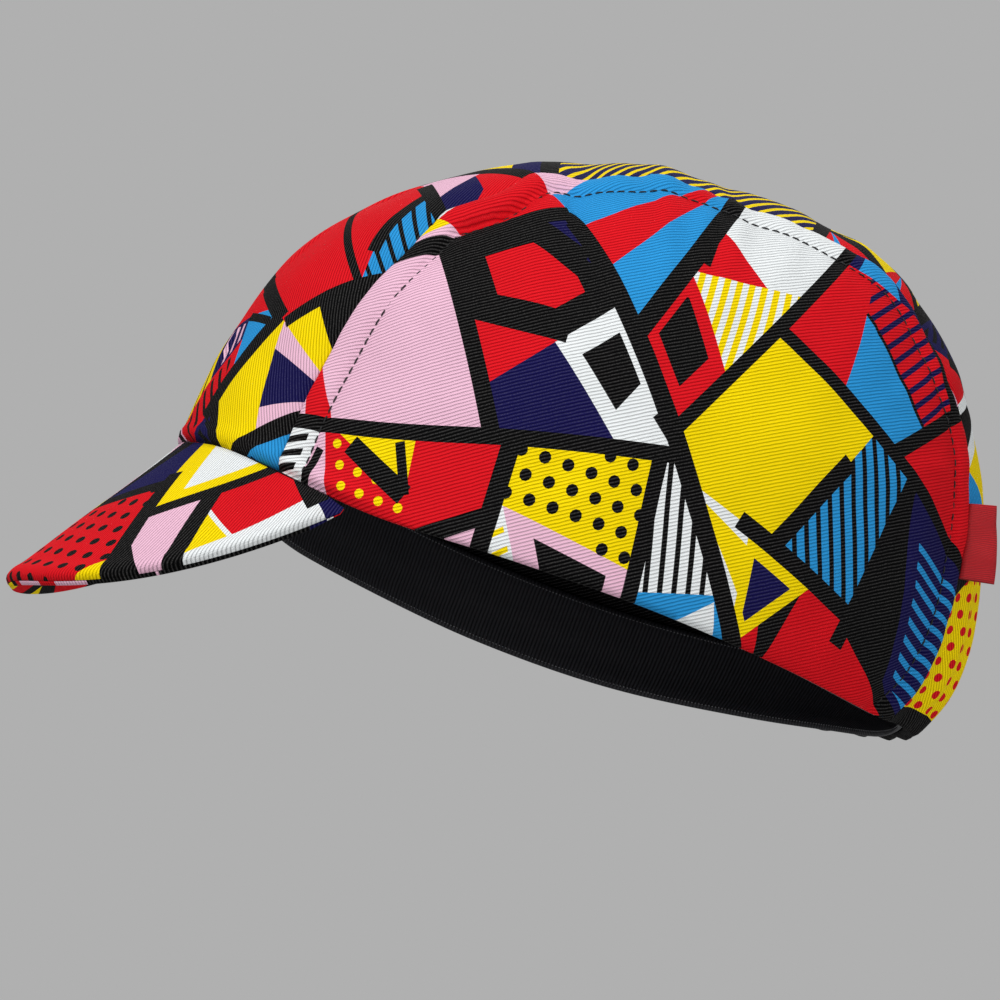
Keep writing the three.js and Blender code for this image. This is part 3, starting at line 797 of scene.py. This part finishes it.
def peakGrids():
    # the lanes lie closer together towards both corners
    bend = np.pi / 2 * peak["crowding"]
    across = np.sin(np.linspace(-1, 1, peak["across"] + 1) * bend) / math.sin(bend) * peak["end"]
    along = 1 - (1 - np.linspace(0, 1, peak["along"] + 1)) ** 1.35
    across, along = np.meshgrid(across, along, indexing="ij")
    near = np.clip(across, -0.93, 0.93)
    over = peakPlace(near + 0.01, along) - peakPlace(near - 0.01, along)
    out = peakPlace(near, along + 0.01) - peakPlace(near, along - 0.01)
    under = unit(np.cross(out, over))
    place = peakPlace(across, along)
    length = np.linalg.norm(peakPlace(across, 0 * along + 1) - peakPlace(across, 0 * along), axis=-1)
    line = peakPlace(across[:, 0], 0 * across[:, 0] + 0.5)
    runs = runAlong(line)
    flat = np.stack([(runs - runs[-1] / 2)[:, None] + 0 * along, (along - 0.5) * length], -1)
    toEdge = (1 - along) * length
    rounding = peak["edgeRound"] * (1 - np.sqrt(1 - np.clip(1 - toEdge / peak["edgeRound"], 0, 1) ** 2))
    uneven = np.sin(flat[..., 0] / 7.5 + 1.3 * np.sin(flat[..., 1] / 11)) * smooth(toEdge, 0, 8)
    lift = peak["unevenness"] * uneven
    crest = peak["crest"] * bell((toEdge - 3) / 2.2)
    wall = peak["coverWall"]
    below = lambda depth: place + under * depth[..., None]
    # both covers thin out towards the peak's corners, and the under one stands fuller at the edge
    full = smooth(peak["end"] - np.abs(across), 0, 0.07)
    upper = below(wall - 0.35 - (wall - 0.35 - rounding + crest + lift) * full)
    lower = below(wall + 0.45 + (wall - 0.35 - 0.3 * rounding - lift) * full)
    return flat, (upper, below(0 * along + wall)), (lower, below(0 * along + wall + 0.1))


peakFlat, upperFaces, lowerFaces = peakGrids()
peakUpper = clothPanel("peak_upper_cover", peakFlat, *upperFaces, peakPrint, peak["ribHeading"], False,
                       twillMaterial)
peakUnder = clothPanel("peak_under_cover", peakFlat, *lowerFaces, underPrint, peak["ribHeading"], True,
                       twillMaterial)
for piece, node in ((peakUpper, "peak_upper"), (peakUnder, "peak_under")):
    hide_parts(node)
print("peak ready")

# Sweatband, behind the rim all round
# The ribbon's two colours are painted light on the rib tops and painted shade in the grooves
band = {"height": 18, "wall": 1.2, "clearance": 0.55, "hemRise": 0.32, "ribPitch": 1.0, "ribDepth": 0.2,
        "overhang": 1.3, "steps": 420, "color": "35353A", "grooveShadeColor": "08080A", "roughness": 0.52}


# Black ribbed ribbon, woven from smooth filament: its upright ribs are painted lighter as a highlight and its
# grooves near-black as shade
def makeRibbon():
    material, tree, shader = newMaterial("black ribbed ribbon")
    cloth, across, _ = clothPlaces(tree)
    rib = addNode(tree, "Math", {0: threadWave(tree, across, 2 * band["ribPitch"])}, operation="ABSOLUTE")
    fiber = addNode(tree, "TexNoise", {"Vector": cloth, "Scale": 1.6, "Detail": 3.0})
    relief = addNode(tree, "Math", {0: fiber, 1: 0.3, 2: rib}, operation="MULTIPLY_ADD")
    bump = addNode(tree, "Bump", {"Height": relief, "Strength": 1.0, "Distance": band["ribDepth"] * mm})
    # painted light and shade: rib tops lighter, grooves near-black
    ribLightAndShade = addNode(tree, "Mix", {"Factor": rib, "A": linear(band["grooveShadeColor"]), "B": linear(band["color"])},
                   data_type="RGBA")
    addNode(tree, shader, {"Base Color": ribLightAndShade.outputs["Result"], "Normal": bump,
                           "Roughness": band["roughness"], "IOR": 1.54, "Specular IOR Level": 0.2})
    return material


ribbonMaterial = makeRibbon()


def placeAtHeight(angle, height):
    radians = np.radians(angle)
    at = lambda share: placeOf(-np.cos(radians) * share, height / cap["crownHeight"], np.sin(radians) * share)
    low, high = 0 * radians, 0 * radians + 2
    for _ in range(40):
        middle = (low + high) / 2
        isIn = crownLevel(at(middle)) < 1
        low, high = np.where(isIn, middle, low), np.where(isIn, high, middle)
    return at(low)


# A closed ring or strip from a section swept along a path: rows x section corners
def sweptPiece(name, points, cloth, material, ring):
    n, m = points.shape[:2]
    faces = []
    for i in range(n if ring else n - 1):
        for j in range(m):
            a, b = i * m + j, i * m + (j + 1) % m
            c, d = ((i + 1) % n) * m + (j + 1) % m, ((i + 1) % n) * m + j
            faces.append((a, b, c, d))
    if not ring:
        faces += [tuple(range(m - 1, -1, -1)), tuple((n - 1) * m + j for j in range(m))]
    mesh = bpy.data.meshes.new(name)
    mesh.from_pydata(intoFrame(points).reshape(-1, 3).tolist(), [], faces)
    return linkPiece(name, mesh, cloth, material)


def bandFace(angle, height, inward):
    place = placeAtHeight(angle, height)
    normal = crownNormal(place)
    normal[..., 2] = 0
    inner = place - unit(normal) * inward[..., None]
    inner[..., 2] -= sagAt(place)
    return inner


# The band hangs a little below the crown on the wearer's right, behind the peak, and curls inward there
def bandPlace(angle, height, inward):
    fromFront = np.abs((angle + 180) % 360 - 180)
    past = smooth(fromFront, cap["peakCorner"], 1.3 * cap["peakCorner"])
    onRight = smooth(np.sin(np.radians(angle)), -0.3, 0.05)
    hang = past * onRight * (1 - smooth(height, band["hemRise"], band["hemRise"] + 3))
    return bandFace(angle, height - (band["overhang"] + band["hemRise"]) * hang, inward + 0.6 * hang)


def makeBand():
    outer = cap["clothWall"] + band["clearance"]
    low, high, wall = band["hemRise"], band["height"], band["wall"]
    section = [(low + 0.3, 0), (low + 1.6, 0), (low + 4, 0), (high - 6, 0), (high - 0.4, 0), (high, 0.4),
               (high - 0.1, 0.9), (high - 0.9, wall), (high - 3.2, wall - 0.15), (high - 7, wall + 0.1),
               (low + 7, wall + 0.15), (low + 2.6, wall - 0.1), (low + 0.9, wall), (low, wall * 0.7),
               (low, 0.3)]
    angle = np.arange(band["steps"]) * 360 / band["steps"]
    rings = [bandPlace(angle, h + 0 * angle, outer + inward + 0 * angle) for h, inward in section]
    points = np.stack(rings, 1)
    around = runAlong(points[:, 9])
    heights = np.tile([h for h, _ in section], (len(angle), 1))
    cloth = np.stack([around[:, None] + 0 * heights, heights, 0 * heights], -1)
    return sweptPiece("sweatband_ribbon", points, cloth, ribbonMaterial, True)


sweatband = makeBand()
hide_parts("sweatband")
print("sweatband ready")

# Side label: a folded strip, its fold outwards, held up a little and standing out further towards the rear
label = {"height": 19.1, "length": 9.2, "turn": 153.7, "lean": 52, "lift": 0.09, "liftSkew": 1.2,
         "lengthSkew": 0.22, "layer": 0.36, "spread": 0.34, "rows": 24, "color": "C8141F",
         "shadeColor": "8C0E18", "threadPitch": 0.42}


# Woven satin ribbon: its long smooth threads give a soft shine. They are drawn coarser than real ones, so
# that they show.
def makeSatin():
    material, tree, shader = newMaterial("woven satin ribbon")
    cloth, _, along = clothPlaces(tree)
    fiber = addNode(tree, "TexNoise", {"Vector": cloth, "Scale": 2.4, "Detail": 3.0})
    relief = addNode(tree, "Math", {0: fiber, 1: 0.8, 2: threadWave(tree, along, label["threadPitch"])},
                     operation="MULTIPLY_ADD")
    bump = addNode(tree, "Bump", {"Height": relief, "Strength": 0.8, "Distance": 0.05 * mm})
    share = addNode(tree, "MapRange", {"Value": relief, "From Min": -1.0, "From Max": 1.6})
    mix = addNode(tree, "Mix", {"Factor": share, "A": linear(label["shadeColor"]),
                                "B": linear(label["color"])}, data_type="RGBA")
    addNode(tree, shader, {"Base Color": mix.outputs["Result"], "Normal": bump, "Roughness": 0.5, "IOR": 1.54,
                           "Specular IOR Level": 0.25, "Sheen Weight": 0.03, "Anisotropic": 0.4})
    return material


satinMaterial = makeSatin()


def makeLabel():
    share = np.linspace(0.5, -0.5, label["rows"] + 1)
    span = label["height"] / (halfLength * reachAt(math.radians(label["turn"])))
    turn = math.radians(label["turn"]) + span * share
    foot = placeAtTurn(turn, -seamShare(turn))
    normal = crownNormal(foot)
    run = unit(placeAtTurn(turn - 0.004, -seamShare(turn - 0.004)) - foot)
    inward = unit(np.cross(normal, run))
    inward = inward * np.sign(inward[..., 1:2])
    lean = math.radians(label["lean"])
    out = normal * math.cos(lean) + inward * math.sin(lean)
    out[..., 2] += label["lift"] * (1 + label["liftSkew"] * share)
    out = unit(out) * (1 + label["lengthSkew"] * share)[:, None]
    face = normal * math.sin(lean) - inward * math.cos(lean)
    foot = foot + normal * 0.4
    foot[..., 2] -= sagAt(foot)
    length, layer, spread = label["length"], label["layer"], label["spread"]
    # The section runs out along one layer, round the fold and back along the other, then returns inside
    steps = np.linspace(0, 1, 9)
    side = [(s * length, spread * math.sin(math.pi * min(s + 0.15, 1)) + 0.12) for s in steps[:-1]]
    outline = [(r, d + layer) for r, d in side]
    outline += [(length + 0.35, layer * 0.6), (length + 0.5, 0), (length + 0.35, -layer * 0.6)]
    outline += [(r, -d - layer) for r, d in side[::-1]] + [(r, -d) for r, d in side]
    outline += [(length - 0.05, 0)] + [(r, d) for r, d in side[::-1]]
    wave = 0.28 * np.sin(share * 7)
    points = np.stack([foot + out * r + face * (d + wave * r / length)[:, None] for r, d in outline], 1)
    outs = np.tile([r for r, _ in outline], (len(share), 1))
    cloth = np.stack([outs, (share * label["height"])[:, None] + 0 * outs, 0 * outs], -1)
    return sweptPiece("side_label_ribbon", points, cloth, satinMaterial, False)


sideLabel = makeLabel()
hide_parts("side_label")
print("label ready")

# Topstitching: short runs of thread that dip into the cloth at both ends
seamStitch = {"length": 2.2, "gap": 0.55, "thread": 0.46}
bandStitch = {"length": 0.55, "gap": 0.4, "thread": 0.26}
threadColors = {"dark": "060607", "darkLight": "17171A", "pale": "5A5A5E", "paleLight": "8E8E92"}
twistPitch = 0.45


# Spun thread: matte, with a twist that shows as slanting bands
def makeThread(name, color, lift):
    material, tree, shader = newMaterial(name)
    _, around, along = clothPlaces(tree)
    slant = addNode(tree, "Math", {0: around, 1: 0.5, 2: along}, operation="MULTIPLY_ADD")
    twist = threadWave(tree, slant, twistPitch)
    bump = addNode(tree, "Bump", {"Height": twist, "Strength": 0.8, "Distance": 0.06 * mm})
    share = addNode(tree, "MapRange", {"Value": twist, "From Min": -1.0, "From Max": 1.0})
    mix = addNode(tree, "Mix", {"Factor": share, "A": linear(color), "B": linear(lift)}, data_type="RGBA")
    addNode(tree, shader, {"Base Color": mix.outputs["Result"], "Normal": bump, "Roughness": 0.6, "IOR": 1.5,
                           "Specular IOR Level": 0.4, "Sheen Weight": 0.1})
    return material


darkThread = makeThread("black spun thread", threadColors["dark"], threadColors["darkLight"])
paleThread = makeThread("grey spun thread", threadColors["pale"], threadColors["paleLight"])


# Capsules of thread along a line of places, sunk a little at both ends
def stitchRow(name, line, normals, material, stitch, lift):
    lengths = runAlong(line)
    pitch = stitch["length"] + stitch["gap"]
    starts = np.arange(0.5, lengths[-1] - pitch, pitch)
    shares = np.array([0, 0.06, 0.2, 0.5, 0.8, 0.94, 1])
    widths = np.array([0.12, 0.7, 0.95, 1.0, 0.95, 0.7, 0.12])
    points, faces, cloth = [], [], []
    sides = 6
    for start in starts:
        at = start + shares * stitch["length"]
        middle = np.stack([np.interp(at, lengths, line[:, k]) for k in range(3)], -1)
        up = unit(np.stack([np.interp(at, lengths, normals[:, k]) for k in range(3)], -1))
        run = unit(np.gradient(middle, axis=0))
        over = unit(np.cross(run, up))
        middle = middle + up * (lift - 0.8 * stitch["thread"] * (2 * shares - 1)[:, None] ** 4)
        base = len(points)
        for k in range(len(at)):
            radius = widths[k] * stitch["thread"] / 2
            for a in range(sides):
                angle = 2 * math.pi * a / sides
                out = over[k] * math.cos(angle) * radius + up[k] * math.sin(angle) * radius * 0.8
                points.append(middle[k] + out)
                cloth.append((a * stitch["thread"] * math.pi / sides, at[k], 0))
        for k in range(len(at) - 1):
            for a in range(sides):
                p, q = base + k * sides + a, base + k * sides + (a + 1) % sides
                faces.append((p, q, q + sides, p + sides))
        faces.append(tuple(base + a for a in range(sides - 1, -1, -1)))
        faces.append(tuple(base + (len(at) - 1) * sides + a for a in range(sides)))
    mesh = bpy.data.meshes.new(name)
    mesh.from_pydata(intoFrame(points).tolist(), [], faces)
    return linkPiece(name, mesh, cloth, material)


seamTurns = np.radians(np.linspace(0.9, 179.1, 900))
for name, hand in (("left_topstitch", -1), ("right_topstitch", 1)):
    stray = cap["seamAllowance"] / halfWidth + 0 * seamTurns
    for _ in range(4):
        place = placeAtTurn(seamTurns, hand * (evenSeam(seamTurns) + stray))
        stray = stray * cap["seamAllowance"] / np.maximum(fromSeam(place, hand)[0], 1)
    place, _, line, _ = sideCloth(place[:, 0] / halfLength, place[:, 2] / cap["crownHeight"], hand)
    stitchRow(name, line, crownNormal(place), darkThread, seamStitch, 0.28)

angles = np.linspace(0, 360, 600)
for name, height in (("band_upper_stitches", band["height"] - 1.2), ("band_lower_stitches", 1.2)):
    inward = cap["clothWall"] + band["clearance"] + band["wall"] + 0 * angles
    line = bandPlace(angles, height + 0 * angles, inward - 0.05)
    up = unit(bandPlace(angles, height + 0 * angles, inward + 1) - line)
    stitchRow(name, line, up, paleThread, bandStitch, 0.06)
print("stitches ready")

# Studio: a broad pale floor, an even grey surround and three soft lights
studio = {"surround": "B0B0B0", "floorDark": "ADADAD", "floorLight": "B3B3B3", "floorDrop": 0.36,
          "floorRadius": 9, "key": 50, "fill": 11, "rear": 14}

floorMesh = bpy.data.meshes.new("studio_floor")
radius, level = studio["floorRadius"], -studio["floorDrop"]
ring = [(radius * math.cos(a * math.pi / 48), radius * math.sin(a * math.pi / 48), level) for a in range(96)]
floorMesh.from_pydata(ring, [], [tuple(range(96))])
floor = bpy.data.objects.new("studio_floor", floorMesh)
bpy.context.scene.collection.objects.link(floor)


def makeFloor():
    # matte painted board: even, with the faintest mottling
    material, tree, shader = newMaterial("matte painted board")
    place = addNode(tree, "TexCoord")
    mottle = addNode(tree, "TexNoise", {"Vector": place.outputs["Object"], "Scale": 6.0, "Detail": 5.0})
    tone = addNode(tree, "Mix", {"Factor": mottle, "A": linear(studio["floorDark"]),
                                 "B": linear(studio["floorLight"])}, data_type="RGBA")
    addNode(tree, shader, {"Base Color": tone.outputs["Result"], "Roughness": 0.9,
                           "Specular IOR Level": 0.15})
    return material


floorMesh.materials.append(makeFloor())

world = bpy.data.worlds.new("soft grey surround")
world.use_nodes = True
surround = world.node_tree.nodes["Background"]
surround.inputs["Color"].default_value = linear(studio["surround"])
surround.inputs["Strength"].default_value = 1.0
bpy.context.scene.world = world
bpy.context.scene.view_settings.view_transform = "Standard"


def softLight(name, place, size, power):
    lamp = bpy.data.lights.new(name, "AREA")
    lamp.shape, lamp.size, lamp.energy = "DISK", size, power
    holder = bpy.data.objects.new(name, lamp)
    holder.location = place
    holder.rotation_euler = (Vector((0, 0, 0.03)) - Vector(place)).to_track_quat("-Z", "Y").to_euler()
    bpy.context.scene.collection.objects.link(holder)


softLight("key light", (-1.2, -1.2, 2.1), 0.7, studio["key"])
softLight("fill light", (1.0, -1.9, -0.15), 0.6, studio["fill"])
softLight("rear light", (0.8, 1.6, 1.4), 1.2, studio["rear"])

# Camera at the photograph's angle: a long lens, a little below the rim
view = {"azimuth": -16.5, "elevation": -3.5, "distance": 1.6, "right": -44.5, "up": 91.5, "pixel": 0.2549}


def makeCamera():
    a, e = math.radians(view["azimuth"]), math.radians(view["elevation"])
    right = Vector((math.cos(a), math.sin(a), 0))
    toCamera = Vector((math.sin(a) * math.cos(e), -math.cos(a) * math.cos(e), math.sin(e)))
    up = toCamera.cross(right)
    target = (right * view["right"] + up * view["up"]) * view["pixel"] * mm
    lens = bpy.data.cameras.new("camera")
    lens.lens = 36 * view["distance"] / (1000 * view["pixel"] * mm)
    camera = bpy.data.objects.new("camera", lens)
    camera.location = target + toCamera * view["distance"]
    camera.rotation_euler = (target - camera.location).to_track_quat("-Z", "Y").to_euler()
    bpy.context.scene.collection.objects.link(camera)
    bpy.context.scene.camera = camera


makeCamera()
print("studio ready")
